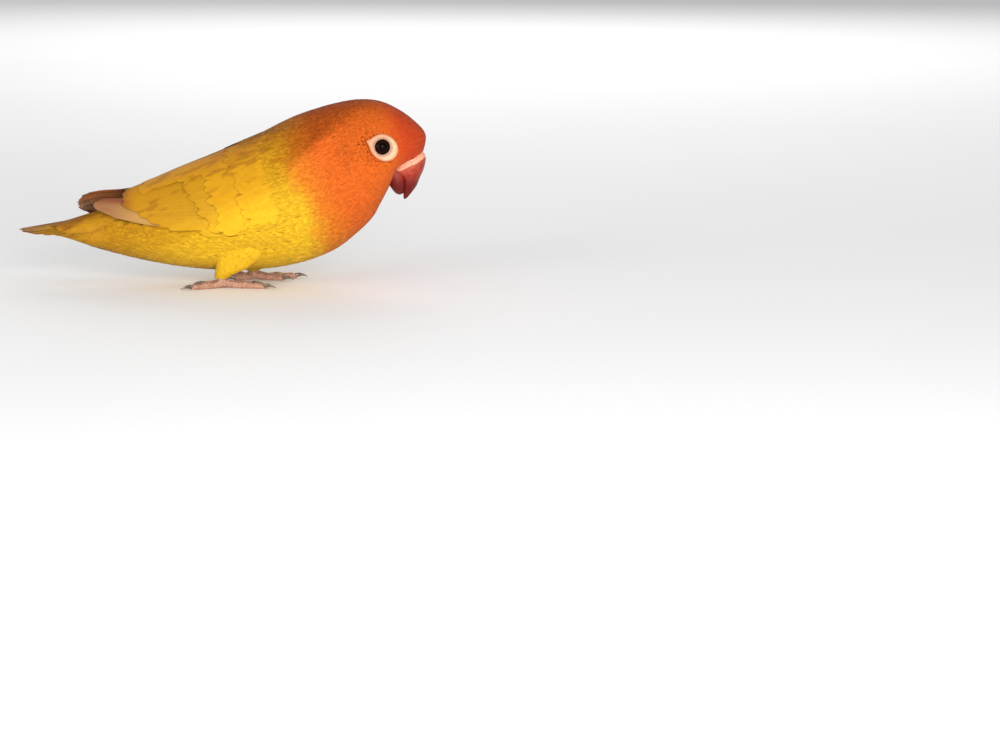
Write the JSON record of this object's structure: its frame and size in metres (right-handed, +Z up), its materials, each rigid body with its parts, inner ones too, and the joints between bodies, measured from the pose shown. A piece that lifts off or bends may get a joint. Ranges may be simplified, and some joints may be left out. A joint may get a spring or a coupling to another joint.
{
  "type": "fischer's lovebird, yellow form",
  "caption": "Life-size still model of a small yellow lovebird with an orange head, white eye rings, a red hooked bill, folded wings and a short tail, crouched on its feet.",
  "frame": {"origin": "on the floor below the middle of the bird's length and width", "axes": "+X towards the bill, +Y to the bird's left, +Z up; the picture is seen along +Y, from the bird's right"},
  "size_m": [0.1408, 0.0408, 0.064],
  "materials": {
    "yellow_feathers": "soft overlapping feathers, matt with a slight silky sheen",
    "orange_feathers": "short dense feathers, matt",
    "tail_feathers": "smooth vanes with a pale pinkish tip",
    "bare_skin": "fleshy, finely wrinkled bare skin",
    "bill": "satin horn",
    "eye": "wet gloss",
    "foot_skin": "small scales, dry",
    "claw": "satin horn"
  },
  "bodies": {
    "root": {"torso": "yellow_feathers", "neck": "orange_feathers", "head": "orange_feathers", "cere": "bare_skin", "upper_bill": "bill", "lower_bill": "bill", "tail": "tail_feathers", "upper_tail_coverts": "yellow_feathers", "under_tail_coverts": "yellow_feathers", "wing_left": "yellow_feathers", "eye_left": "eye", "eye_ring_left": "bare_skin", "thigh_left": "yellow_feathers", "foot_left": "foot_skin", "claw_left_1": "claw", "claw_left_2": "claw", "claw_left_3": "claw", "claw_left_4": "claw", "wing_right": "yellow_feathers", "eye_right": "eye", "eye_ring_right": "bare_skin", "thigh_right": "yellow_feathers", "foot_right": "foot_skin", "claw_right_1": "claw", "claw_right_2": "claw", "claw_right_3": "claw", "claw_right_4": "claw"}
  },
  "joints": []
}
